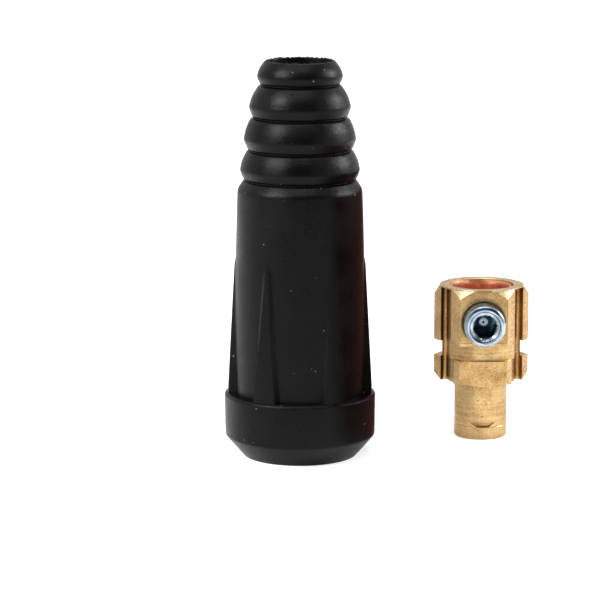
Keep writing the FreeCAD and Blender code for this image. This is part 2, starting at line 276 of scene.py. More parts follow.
def work_in(piece: bpy.types.Object, other: bpy.types.Object, how: Joining) -> None:
    """Adds, cuts or trims a piece with another one, which is used up.

    Args:
        piece: the piece that stays.
        other: the tool.
        how: what is done with it.
    """
    modifier = piece.modifiers.new(how.name, "BOOLEAN")
    modifier.operation = how.value
    modifier.solver = "EXACT"
    modifier.object = other
    finish_modifier(piece, modifier)
    bpy.data.objects.remove(other, do_unlink=True)


def slice_up(piece: bpy.types.Object, step: float) -> None:
    """Cuts a piece's faces along evenly spaced planes, so that they can hold marks that change over them.

    Args:
        piece: the mesh.
        step: distance from one plane to the next.
    """
    corners = [Vector(corner) for corner in piece.bound_box]
    with Editing(piece):
        for axis in range(3):
            low = min(corner[axis] for corner in corners)
            high = max(corner[axis] for corner in corners)
            count = max(1, round((high - low) / step))
            normal = Vector((0, 0, 0))
            normal[axis] = 1.0
            for i in range(1, count):
                bpy.ops.mesh.select_all(action="SELECT")
                place = normal * (low + (high - low) * i / count)
                bpy.ops.mesh.bisect(plane_co=place, plane_no=normal)


def mark_occlusion(piece: bpy.types.Object, reach: float, rays: int = 14) -> None:
    """Stores how closed in each vertex is by the piece itself, from 0 in the open to 1 in a deep corner, for
    the materials' painted shade.

    Args:
        piece: the finished mesh.
        reach: how far away a wall still counts.
        rays: how many directions are tried.
    """
    mesh = piece.data
    tree = BVHTree.FromPolygons([v.co for v in mesh.vertices], [tuple(f.vertices) for f in mesh.polygons])
    golden = math.pi * (3 - math.sqrt(5))
    fan = []
    for i in range(rays):
        out = math.sqrt((i + 0.5) / rays)
        fan.append((out * math.cos(golden * i), out * math.sin(golden * i), math.sqrt(1 - out * out)))
    mark = mesh.attributes.new("occlusion", "FLOAT", "POINT")
    for vertex in mesh.vertices:
        normal = vertex.normal
        across = normal.orthogonal().normalized()
        other = normal.cross(across)
        start = vertex.co + normal * 2e-5
        shut = 0.0
        for x, y, z in fan:
            hit = tree.ray_cast(start, across * x + other * y + normal * z, reach)
            if hit[0] is not None:
                shut += 1 - 0.6 * hit[3] / reach
        mark.data[vertex.index].value = shut / rays


def copy_of_node(node: str, name: str) -> bpy.types.Object:
    """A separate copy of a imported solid, with its loose triangles merged into whole faces.

    Args:
        node: the node's name.
        name: the new piece's name.

    Returns:
        The copy.
    """
    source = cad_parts[node]
    piece = bpy.data.objects.new(name, source.data.copy())
    bpy.context.collection.objects.link(piece)
    piece.data.materials.clear()
    with Editing(piece):
        bpy.ops.mesh.select_all(action="SELECT")
        bpy.ops.mesh.remove_doubles(threshold=MERGE_DISTANCE)
        bpy.ops.mesh.dissolve_limited(angle_limit=math.radians(0.6))
    return piece


def break_edges(piece: bpy.types.Object, width: float, degrees: float = 24.0, steps: int = 2) -> None:
    """Breaks the sharp edges of a piece, and stores which faces are broken edges and which fill a corner.

    Args:
        piece: the mesh.
        width: width of the round.
        degrees: edges that bend more than this are broken.
        steps: how many pieces the round has.
    """
    piece.data.materials.clear()
    for _ in range(2):
        piece.data.materials.append(None)
    modifier = piece.modifiers.new("Broken edges", "BEVEL")
    modifier.width = width
    modifier.segments = steps
    modifier.limit_method = "ANGLE"
    modifier.angle_limit = math.radians(degrees)
    modifier.material = 1
    finish_modifier(piece, modifier)
    shape = bmesh.new()
    shape.from_mesh(piece.data)
    out = piece.data.attributes.new("edge", "FLOAT", "FACE")
    into = piece.data.attributes.new("hollow", "FLOAT", "FACE")
    for face in shape.faces:
        bend = sum(edge.calc_face_angle_signed() for edge in face.edges if edge.is_manifold)
        if face.material_index == 1:
            (out if bend > 0 else into).data[face.index].value = 1.0
    shape.free()
    for face in piece.data.polygons:
        face.material_index = 0
    piece.data.materials.clear()


class Graph:
    """Short ways to add and link shader nodes in one tree."""

    def __init__(self, tree: bpy.types.NodeTree) -> None:
        """Empties the tree that is to be filled."""
        self.tree = tree
        tree.nodes.clear()

    def add(self, kind: str, **settings: Value) -> bpy.types.Node:
        """Adds a node of a kind, and sets its properties."""
        node = self.tree.nodes.new(kind)
        for name, value in settings.items():
            setattr(node, name, value)
        return node

    def feed(self, value: Value, socket: bpy.types.NodeSocket) -> None:
        """Links an output socket, or sets a plain value, on an input."""
        if isinstance(value, bpy.types.NodeSocket):
            self.tree.links.new(value, socket)
        elif value is not None:
            socket.default_value = value

    def maths(self, operation: str, a: Value, b: Value = None, clamp: bool = False) -> bpy.types.NodeSocket:
        """A sum, product or other step on numbers."""
        node = self.add("ShaderNodeMath", operation=operation, use_clamp=clamp)
        self.feed(a, node.inputs[0])
        self.feed(b, node.inputs[1])
        return node.outputs[0]

    def span(self, value: Value, low: float, high: float, to_low: float = 0.0,
             to_high: float = 1.0) -> bpy.types.NodeSocket:
        """Stretches a range of a value onto another range, held at its ends."""
        node = self.add("ShaderNodeMapRange", interpolation_type="SMOOTHSTEP")
        self.feed(value, node.inputs["Value"])
        for name, number in (("From Min", low), ("From Max", high), ("To Min", to_low), ("To Max", to_high)):
            node.inputs[name].default_value = number
        return node.outputs[0]

    def blend(self, share: Value, a: Value, b: Value, mode: str = "MIX") -> bpy.types.NodeSocket:
        """Mixes two colours."""
        node = self.add("ShaderNodeMix", data_type="RGBA", blend_type=mode, clamp_factor=True)
        self.feed(share, node.inputs[0])
        self.feed(as_colour(a), node.inputs[6])
        self.feed(as_colour(b), node.inputs[7])
        return node.outputs[2]

    def place(self, offset: Vector = Vector((0, 0, 0)), scale: Colour = (1, 1, 1)) -> bpy.types.NodeSocket:
        """Object coordinates, moved so that they start at a point of the piece."""
        source = self.add("ShaderNodeTexCoord")
        mapping = self.add("ShaderNodeMapping")
        self.feed(source.outputs["Object"], mapping.inputs["Vector"])
        mapping.inputs["Location"].default_value = [-o * s for o, s in zip(offset, scale)]
        mapping.inputs["Scale"].default_value = scale
        return mapping.outputs[0]

    def noise(self, vector: Value, scale: Value, detail: float = 2.0, rough: float = 0.5,
              dimensions: str = "3D") -> bpy.types.NodeSocket:
        """A noise value from 0 to 1."""
        node = self.add("ShaderNodeTexNoise", noise_dimensions=dimensions)
        self.feed(vector, node.inputs["W" if dimensions == "1D" else "Vector"])
        self.feed(scale, node.inputs["Scale"])
        node.inputs["Detail"].default_value = detail
        node.inputs["Roughness"].default_value = rough
        return node.outputs[0]

    def mark(self, name: str) -> bpy.types.NodeSocket:
        """A number stored on the mesh."""
        return self.add("ShaderNodeAttribute", attribute_name=name).outputs["Fac"]

    def effect(self, group: bpy.types.NodeTree, **values: Value) -> bpy.types.Node:
        """Places a node group with its own values."""
        node = self.add("ShaderNodeGroup", node_tree=group)
        for name, value in values.items():
            self.feed(value, node.inputs[name.replace("_", " ").capitalize()])
        return node

    def bump(self, height: Value, distance: float, strength: float = 1.0,
             normal: Value = None) -> bpy.types.NodeSocket:
        """Turns a height into a bent normal."""
        node = self.add("ShaderNodeBump")
        node.inputs["Strength"].default_value = strength
        node.inputs["Distance"].default_value = distance
        self.feed(height, node.inputs["Height"])
        self.feed(normal, node.inputs["Normal"])
        return node.outputs[0]


def as_colour(value: Value) -> Value:
    """Gives a plain colour its alpha, and leaves a socket as it is."""
    if isinstance(value, tuple) and len(value) == 3:
        return (*value, 1.0)
    return value


class SocketKind(Enum):
    """Kinds of socket that the effects have."""

    NUMBER = "NodeSocketFloat"
    VECTOR = "NodeSocketVector"


def new_effect(name: str, inputs: dict[str, tuple[SocketKind, float]],
               outputs: Iterable[str]) -> tuple[Graph, bpy.types.Node, bpy.types.Node]:
    """Starts a node group with named sockets.

    Args:
        name: the group's name.
        inputs: for each input, its kind and its usual value.
        outputs: names of the outputs, all numbers.

    Returns:
        The graph, its input node and its output node.
    """
    tree = bpy.data.node_groups.new(name, "ShaderNodeTree")
    for label, (kind, usual) in inputs.items():
        socket = tree.interface.new_socket(label, in_out="INPUT", socket_type=kind.value)
        if kind is SocketKind.NUMBER:
            socket.default_value = usual
    for label in outputs:
        tree.interface.new_socket(label, in_out="OUTPUT", socket_type=SocketKind.NUMBER.value)
    graph = Graph(tree)
    return graph, graph.add("NodeGroupInput"), graph.add("NodeGroupOutput")


@dataclass
class Effects:
    """Surface effects that several finishes share, each a node group built once."""

    grain: bpy.types.NodeTree
    specks: bpy.types.NodeTree
    worn_and_highlit_edges: bpy.types.NodeTree
    turned_lines: bpy.types.NodeTree

    @classmethod
    def build(cls) -> "Effects":
        """Builds every group."""
        return cls(grain_effect(), specks_effect(), worn_and_highlit_edges_effect(), turned_lines_effect())

    def dots(self, graph: Graph, vector: Value, scale: float, size: float, amount: float,
             strength: float) -> bpy.types.NodeSocket:
        """A mask of specks.

        Args:
            graph: the material's graph.
            vector: coordinates.
            scale: how many cells there are per metre.
            size: a speck's size as a share of its cell.
            amount: share of the cells that hold a speck.
            strength: how strong the mask is.

        Returns:
            The mask.
        """
        specks = graph.effect(self.specks, vector=vector, scale=scale, size=size, amount=amount)
        return graph.maths("MULTIPLY", specks.outputs["Mask"], strength)

    def edge_wear_and_highlight(self, graph: Graph, vector: Value, scale: float, amount: float) -> bpy.types.NodeSocket:
        """A mask of the wear and the painted highlight along the edges."""
        edge = graph.mark("edge")
        worn_and_highlit = graph.effect(self.worn_and_highlit_edges, vector=vector, edge=edge, scale=scale, amount=amount)
        return worn_and_highlit.outputs["Mask"]


def grain_effect() -> bpy.types.NodeTree:
    """Fine and coarse unevenness of a surface. Fine is for the height, Patches for the colour."""
    inputs = {"Vector": (SocketKind.VECTOR, 0), "Fine scale": (SocketKind.NUMBER, 4000),
              "Patch scale": (SocketKind.NUMBER, 120)}
    graph, source, result = new_effect("Grain", inputs, ("Fine", "Patches"))
    vector = source.outputs["Vector"]
    graph.feed(graph.noise(vector, source.outputs["Fine scale"], 3, 0.65), result.inputs["Fine"])
    patch = graph.noise(vector, source.outputs["Patch scale"], 4, 0.55)
    graph.feed(graph.span(patch, 0.3, 0.7), result.inputs["Patches"])
    return graph.tree


def specks_effect() -> bpy.types.NodeTree:
    """Scattered small round specks, such as pits or dust. Amount is the share of cells that hold one."""
    inputs = {"Vector": (SocketKind.VECTOR, 0), "Scale": (SocketKind.NUMBER, 1500),
              "Size": (SocketKind.NUMBER, 0.3), "Amount": (SocketKind.NUMBER, 0.2)}
    graph, source, result = new_effect("Specks", inputs, ("Mask",))
    cells = graph.add("ShaderNodeTexVoronoi", feature="F1")
    graph.feed(source.outputs["Vector"], cells.inputs["Vector"])
    graph.feed(source.outputs["Scale"], cells.inputs["Scale"])
    chance = graph.add("ShaderNodeSeparateColor")
    graph.feed(cells.outputs["Color"], chance.inputs[0])
    there = graph.maths("LESS_THAN", chance.outputs[0], source.outputs["Amount"])
    size = graph.maths("MULTIPLY", source.outputs["Size"], chance.outputs[1])
    depth = graph.maths("DIVIDE", cells.outputs["Distance"], size)
    round_speck = graph.span(depth, 0.6, 1.0, 1.0, 0.0)
    graph.feed(graph.maths("MULTIPLY", there, round_speck), result.inputs["Mask"])
    return graph.tree


def worn_and_highlit_edges_effect() -> bpy.types.NodeTree:
    """Broken wear and painted highlight along the edges that the mesh's own mark gives."""
    inputs = {"Vector": (SocketKind.VECTOR, 0), "Edge": (SocketKind.NUMBER, 0),
              "Scale": (SocketKind.NUMBER, 700), "Amount": (SocketKind.NUMBER, 0.5)}
    graph, source, result = new_effect("Worn and highlit edges", inputs, ("Mask",))
    noise = graph.noise(source.outputs["Vector"], source.outputs["Scale"], 4)
    broken = graph.span(noise, 0.35, 0.65)
    share = graph.maths("MULTIPLY", source.outputs["Edge"], broken)
    graph.feed(graph.maths("MULTIPLY", share, source.outputs["Amount"], clamp=True), result.inputs["Mask"])
    return graph.tree


def turned_lines_effect() -> bpy.types.NodeTree:
    """Fine lines that a lathe tool leaves round the Z axis, as a height and a slow tone."""
    inputs = {"Vector": (SocketKind.VECTOR, 0), "Scale": (SocketKind.NUMBER, 6000),
              "Drift": (SocketKind.NUMBER, 0.00006)}
    graph, source, result = new_effect("Turned lines", inputs, ("Height", "Tone"))
    split = graph.add("ShaderNodeSeparateXYZ")
    graph.feed(source.outputs["Vector"], split.inputs[0])
    flat = graph.add("ShaderNodeCombineXYZ")
    for i in range(2):
        graph.feed(split.outputs[i], flat.inputs[i])
    radius = graph.add("ShaderNodeVectorMath", operation="LENGTH")
    graph.feed(flat.outputs[0], radius.inputs[0])
    sway = graph.noise(source.outputs["Vector"], 150.0)
    shift = graph.maths("MULTIPLY", sway, source.outputs["Drift"])
    along = graph.maths("ADD", graph.maths("ADD", split.outputs[2], radius.outputs["Value"]), shift)
    for label, factor in (("Height", 1.0), ("Tone", 0.22)):
        scale = graph.maths("MULTIPLY", source.outputs["Scale"], factor)
        graph.feed(graph.noise(along, scale, 3, dimensions="1D"), result.inputs[label])
    return graph.tree


def new_finish(name: str, metallic: float, specular: float = 0.5) -> tuple[bpy.types.Material, Graph,
                                                                         bpy.types.Node]:
    """Starts a material with its shader and output.

    Args:
        name: the material's name.
        metallic: 1 for a metal, 0 for anything else.
        specular: strength of the mirror part of a surface that isn't metal.

    Returns:
        The material, its graph and its shader.
    """
    material = bpy.data.materials.new(name)
    material.use_nodes = True
    graph = Graph(material.node_tree)
    shader = graph.add("ShaderNodeBsdfPrincipled")
    shader.inputs["Metallic"].default_value = metallic
    shader.inputs["Specular IOR Level"].default_value = specular
    output = graph.add("ShaderNodeOutputMaterial")
    graph.feed(shader.outputs[0], output.inputs["Surface"])
    return material, graph, shader


def dress(graph: Graph, shader: bpy.types.Node, colour: Value, rough: Value, normal: Value) -> None:
    """Feeds a finish's colour, roughness and normal to its shader."""
    for name, value in (("Base Color", colour), ("Roughness", rough), ("Normal", normal)):
        graph.feed(value, shader.inputs[name])


@dataclass(frozen=True)
class MouldedRubber:
    """Matt black rubber with a dusty bloom, straight from the mould."""

    deep: Colour = (0.0013, 0.0016, 0.0015)
    bloom: Colour = (0.0032, 0.0033, 0.0030)
    dust: Colour = (0.30, 0.29, 0.27)
    roughness: float = 0.29

    def make(self, effects: Effects) -> bpy.types.Material:
        """Builds the material.

        Args:
            effects: the shared surface effects.

        Returns:
            The material.
        """
        material, graph, shader = new_finish("moulded_rubber", 0.0, 0.12)
        place = graph.place()
        grain = graph.effect(effects.grain, vector=place, fine_scale=2600.0, patch_scale=95.0)
        colour = graph.blend(grain.outputs["Patches"], self.deep, self.bloom)
        dust = effects.dots(graph, place, 420.0, 0.10, 0.65, 0.8)
        colour = graph.blend(dust, colour, self.dust)
        rough = graph.span(grain.outputs["Patches"], 0.0, 1.0, self.roughness - 0.05, self.roughness + 0.07)
        waves = graph.noise(place, 55.0, 2.0)
        normal = graph.bump(waves, 0.25 * MM, 0.6)
        normal = graph.bump(grain.outputs["Fine"], 0.10 * MM, 0.8, normal)
        dress(graph, shader, colour, rough, graph.bump(dust, 0.0625 * MM, 0.6, normal))
        return material


class BrassSurface(Enum):
    """How a face of the contact was made, or the painted shade that darkens it."""

    DRAWN = "drawn"
    TURNED = "turned"
    POLISHED_HIGHLIGHT = "polished"
    MILLED = "milled"
    # Painted shade on the channel walls: brown, and black on the left wing's inner wall.
    SHADE_WALL = "stained"
    BLACK_SHADE_WALL = "sooted"


@dataclass(frozen=True)
class Brass:
    """Uncoated brass. Each kind of surface keeps the marks of how it was made, and some carry painted shade
    or a painted highlight.
    """

    light: Colour = (0.60, 0.375, 0.152)
    dark: Colour = (0.44, 0.255, 0.085)
    # Pit and brown also serve as painted shade in concave corners and closed-in places.
    pit: Colour = (0.085, 0.040, 0.015)
    bright: Colour = (0.96, 0.76, 0.45)
    brown: Colour = (0.36, 0.150, 0.036)
    # Bright tones that paint the highlight on the polished corner facets that face up.
    polished: tuple[Colour, Colour] = ((0.85, 0.66, 0.36), (0.98, 0.82, 0.50))
    # Darker tones that paint the shade on the channel walls, and black for the painted shade on the left
    # wing's inner wall.
    stained: tuple[Colour, Colour] = ((0.40, 0.215, 0.07), (0.62, 0.39, 0.16))
    sooted: tuple[Colour, Colour] = ((0.012, 0.011, 0.010), (0.022, 0.018, 0.014))
    frame_half: float = 5.75 * MM
    frame_foot: float = 25.2 * MM
    frame_front: float = -9.6 * MM

    def tones(self, surface: BrassSurface) -> tuple[Colour, Colour]:
        """The darker and the lighter tone that one kind of surface wavers between."""
        special = {
            BrassSurface.POLISHED_HIGHLIGHT: self.polished,
            BrassSurface.SHADE_WALL: self.stained,
            BrassSurface.BLACK_SHADE_WALL: self.sooted,
        }
        return special.get(surface, (self.dark, self.light))

    def frame_line(self, graph: Graph, place: bpy.types.NodeSocket) -> bpy.types.NodeSocket:
        """A faint scored frame round the screw hole, strongest at its right side and its foot.

        Args:
            graph: the material's graph.
            place: coordinates that start on the contact's axis.

        Returns:
            A mask.
        """
        split = graph.add("ShaderNodeSeparateXYZ")
        graph.feed(place, split.inputs[0])
        side, front, up = split.outputs
        edge = 0.1 * MM
        above = graph.span(up, self.frame_foot - edge, self.frame_foot)
        away = graph.maths("ABSOLUTE", side)
        inside = graph.span(away, self.frame_half, self.frame_half + edge, 1.0, 0.0)
        in_front = graph.span(front, self.frame_front, self.frame_front + edge, 1.0, 0.0)
        from_side = graph.maths("ABSOLUTE", graph.maths("SUBTRACT", side, self.frame_half))
        from_left = graph.maths("ABSOLUTE", graph.maths("ADD", side, self.frame_half))
        from_foot = graph.maths("ABSOLUTE", graph.maths("SUBTRACT", up, self.frame_foot))
        right = graph.maths("MULTIPLY", graph.span(from_side, 0.03 * MM, 0.15 * MM, 1.0, 0.0), above)
        left = graph.maths("MULTIPLY", graph.span(from_left, 0.03 * MM, 0.2 * MM, 0.35, 0.0), above)
        foot = graph.maths("MULTIPLY", graph.span(from_foot, 0.03 * MM, 0.15 * MM, 0.8, 0.0), inside)
        lines = graph.maths("MAXIMUM", graph.maths("MAXIMUM", right, left), foot)
        return graph.maths("MULTIPLY", lines, in_front)

    def make(self, effects: Effects, surface: BrassSurface, axis: Vector) -> bpy.types.Material:
        """Builds the material for one kind of surface.

        Args:
            effects: the shared surface effects.
            surface: how the faces were made.
            axis: a point on the contact's own axis.

        Returns:
            The material.
        """
        material, graph, shader = new_finish("brass_" + surface.value, 1.0)
        place = graph.place(axis)
        # The walls with painted shade skip the bright and brown grain specks and the lighter edges.
        on_shade_wall = surface in (BrassSurface.SHADE_WALL, BrassSurface.BLACK_SHADE_WALL)
        dark, light = self.tones(surface)
        grain = graph.effect(effects.grain, vector=place, fine_scale=3300.0, patch_scale=210.0)
        colour = graph.blend(grain.outputs["Patches"], dark, light)
        fine = grain.outputs["Fine"]
        if not on_shade_wall:
            colour = graph.blend(graph.span(fine, 0.42, 0.80, 0.0, 0.6), colour, self.bright)
            colour = graph.blend(graph.span(fine, 0.20, 0.50, 0.55, 0.0), colour, self.brown)
        rough = 0.38
        normal = graph.bump(fine, 0.06 * MM, 0.6)
        if surface is BrassSurface.TURNED:
            lines = graph.effect(effects.turned_lines, vector=place, scale=5200.0)
            tone = graph.span(lines.outputs["Tone"], 0.35, 0.65, 0.0, 0.16)
            colour = graph.blend(tone, colour, self.bright)
            normal = graph.bump(lines.outputs["Height"], 0.03 * MM, 0.25, normal)
            rough = 0.34
        if surface is BrassSurface.MILLED:
            slant = graph.add("ShaderNodeMapping")
            graph.feed(place, slant.inputs["Vector"])
            slant.inputs["Rotation"].default_value = (0.0, math.radians(33), 0.0)
            slant.inputs["Scale"].default_value = (0.12, 1.0, 1.0)
            streaks = graph.noise(slant.outputs[0], 2600.0, 2.0)
            colour = graph.blend(graph.span(streaks, 0.40, 0.62, 0.5, 0.0), colour, self.brown)
            colour = graph.blend(graph.span(streaks, 0.52, 0.70, 0.0, 0.5), colour, self.bright)
            normal = graph.bump(streaks, 0.06 * MM, 0.6, normal)
        if surface is BrassSurface.POLISHED_HIGHLIGHT:
            rough = 0.24
        if surface is BrassSurface.DRAWN:
            frame_line = self.frame_line(graph, place)
            colour = graph.blend(graph.maths("MULTIPLY", frame_line, 0.75), colour, self.brown)
            normal = graph.bump(graph.maths("SUBTRACT", 1.0, frame_line), 0.06 * MM, 0.7, normal)
        dents = effects.dots(graph, graph.place(axis, (0.5, 0.5, 1.0)), 2300.0, 0.55, 0.17, 0.4)
        pits = effects.dots(graph, place, 1700.0, 0.34, 0.13, 0.8)
        holes = graph.maths("MAXIMUM", dents, pits)
        colour = graph.blend(holes, colour, self.pit)
        # Worn edges are lighter, also as a painted highlight.
        if not on_shade_wall:
            colour = graph.blend(effects.edge_wear_and_highlight(graph, place, 900.0, 0.85), colour, self.bright)
        # Painted shade: closed-in corners darken towards brown, and faces that fill concave edges towards
        # the pit colour.
        if surface is not BrassSurface.POLISHED_HIGHLIGHT:
            occlusion = graph.span(graph.mark("occlusion"), 0.12, 0.62, 0.0, 0.55)
            colour = graph.blend(occlusion, colour, self.brown, "MULTIPLY")
        hollow = graph.maths("MULTIPLY", graph.mark("hollow"), 0.6)
        colour = graph.blend(hollow, colour, self.pit)
        normal = graph.bump(graph.maths("SUBTRACT", 1.0, holes), 0.10 * MM, 0.7, normal)
        rough = graph.span(grain.outputs["Patches"], 0.0, 1.0, rough + 0.07, rough - 0.05)
        dress(graph, shader, colour, rough, normal)
        return material


@dataclass(frozen=True)
class RolledCopper:
    """Bright rolled copper strip, a little reddened by handling."""

    pink: Colour = (1.0, 0.62, 0.45)
    red: Colour = (0.90, 0.36, 0.20)
    spot: Colour = (0.22, 0.07, 0.04)
    edge: Colour = (0.95, 0.68, 0.52)

    def make(self, effects: Effects, axis: Vector) -> bpy.types.Material:
        """Builds the material.

        Args:
            effects: the shared surface effects.
            axis: a point on the bore's axis.

        Returns:
            The material.
        """
        material, graph, shader = new_finish("rolled_copper", 1.0)
        place = graph.place(axis)
        grain = graph.effect(effects.grain, vector=place, fine_scale=2600.0, patch_scale=190.0)
        colour = graph.blend(grain.outputs["Patches"], self.red, self.pink)
        roll = graph.noise(graph.place(axis, (1.0, 1.0, 0.06)), 1800.0, 3.0)
        colour = graph.blend(graph.span(roll, 0.3, 0.7, 0.0, 0.35), colour, self.pink)
        colour = graph.blend(effects.dots(graph, place, 800.0, 0.5, 0.06, 0.5), colour, self.spot)
        # Painted shade: the closed-in parts of the strip darken towards red.
        depth = graph.span(graph.mark("occlusion"), 0.45, 0.98, 0.0, 0.45)
        colour = graph.blend(depth, colour, self.red, "MULTIPLY")
        # Worn edges are lighter, also as a painted highlight.
        colour = graph.blend(effects.edge_wear_and_highlight(graph, place, 900.0, 0.8), colour, self.edge)
        rough = graph.span(grain.outputs["Patches"], 0.0, 1.0, 0.36, 0.26)
        normal = graph.bump(roll, 0.03 * MM, 0.5, graph.bump(grain.outputs["Fine"], 0.03 * MM, 0.4))
        dress(graph, shader, colour, rough, normal)
        return material


class ZincZone(Enum):
    """Parts of the screw that differ in tone."""

    OUTSIDE = "outside"
    # Down in the socket, where shade and a dark reflection are painted.
    SOCKET = "socket"
    DISC = "disc"


@dataclass(frozen=True)
class BrightZinc:
    """Bright blue zinc plating on steel, with shade and a dark reflection painted down in the socket."""

    silver: Colour = (0.56, 0.63, 0.69)
    blue: Colour = (0.26, 0.36, 0.47)
    # Deep and teal are the painted shade and dark reflection in the socket; deep also darkens pits.
    deep: Colour = (0.018, 0.035, 0.055)
    teal: Colour = (0.065, 0.130, 0.170)
    grey: Colour = (0.30, 0.34, 0.36)
    edge: Colour = (0.86, 0.90, 0.94)
    line_radius: float = 3.72 * MM
    chamfer_radius: float = 4.55 * MM
    face_depth: float = 0.9 * MM

    def painted_dark_rings(self, graph: Graph, place: bpy.types.NodeSocket) -> bpy.types.NodeSocket:
        """Where shade and a dark reflection are painted on the screw's face: a fine ring as painted shade
        where the face steps down, and the upper half of the chamfer as a painted dark reflection.

        Args:
            graph: the material's graph.
            place: coordinates that start on the screw's face, on its axis.

        Returns:
            A mask.
        """
        split = graph.add("ShaderNodeSeparateXYZ")
        graph.feed(place, split.inputs[0])
        side, depth, up = split.outputs
        squares = graph.maths("ADD", graph.maths("MULTIPLY", side, side), graph.maths("MULTIPLY", up, up))
        radius = graph.maths("SQRT", squares)
        from_line = graph.maths("ABSOLUTE", graph.maths("SUBTRACT", radius, self.line_radius))
        line = graph.span(from_line, 0.06 * MM, 0.16 * MM, 0.9, 0.0)
        from_chamfer = graph.maths("ABSOLUTE", graph.maths("SUBTRACT", radius, self.chamfer_radius))
        chamfer = graph.span(from_chamfer, 0.22 * MM, 0.34 * MM, 1.0, 0.0)
        height = graph.maths("DIVIDE", up, radius)
        chamfer = graph.maths("MULTIPLY", chamfer, graph.span(height, 0.05, 0.75))
        in_face = graph.span(depth, self.face_depth, self.face_depth + 0.1 * MM, 1.0, 0.0)
        return graph.maths("MULTIPLY", graph.maths("MAXIMUM", line, chamfer), in_face)

    def make(self, effects: Effects, zone: ZincZone, axis: Vector) -> bpy.types.Material:
        """Builds the material for one zone of the screw.

        Args:
            effects: the shared surface effects.
            zone: which part of the screw it is for.
            axis: a point on the screw's axis.

        Returns:
            The material.
        """
        material, graph, shader = new_finish("zinc_" + zone.value, 1.0)
        place = graph.place(axis)
        grain = graph.effect(effects.grain, vector=place, fine_scale=3800.0, patch_scale=330.0)
        tones = {
            ZincZone.OUTSIDE: (self.blue, self.silver),
            # The socket's dark tones are painted shade and dark reflection.
            ZincZone.SOCKET: (self.deep, self.teal),
            ZincZone.DISC: (self.grey, self.blue),
        }
        colour = graph.blend(grain.outputs["Patches"], *tones[zone])
        # Worn edges are lighter, also as a painted highlight.
        colour = graph.blend(effects.edge_wear_and_highlight(graph, place, 1200.0, 0.8), colour, self.edge)
        # Painted shade: closed-in places and faces in concave corners darken towards the deep blue.
        occlusion = graph.span(graph.mark("occlusion"), 0.15, 0.7, 0.0, 0.8)
        if zone is not ZincZone.DISC:
            occlusion = graph.maths("MAXIMUM", occlusion, graph.mark("hollow"))
            colour = graph.blend(occlusion, colour, self.deep)
        # Painted shade and dark reflection in rings on the screw's face.
        if zone is ZincZone.OUTSIDE:
            colour = graph.blend(self.painted_dark_rings(graph, place), colour, self.deep)
        colour = graph.blend(effects.dots(graph, place, 1400.0, 0.5, 0.05, 0.6), colour, self.deep)
        rough = graph.span(grain.outputs["Patches"], 0.0, 1.0, 0.32, 0.20)
        dress(graph, shader, colour, rough, graph.bump(grain.outputs["Fine"], 0.04 * MM, 0.45))
        return material


@dataclass(frozen=True)
class Roll:
    """One soft roll of the sleeve's cable end.

    Attributes:
        top_radius: radius at its upper edge.
        height: from its foot to its upper edge.
        belly_radius: its widest radius.
        belly_height: height of the belly above the foot.
        foot_radius: radius at its foot.
        bulge: how far the flank between belly and upper edge bows out.
        groove: height of the groove above it.
    """

    top_radius: float
    height: float
    belly_radius: float
    belly_height: float
    foot_radius: float
    bulge: float
    groove: float


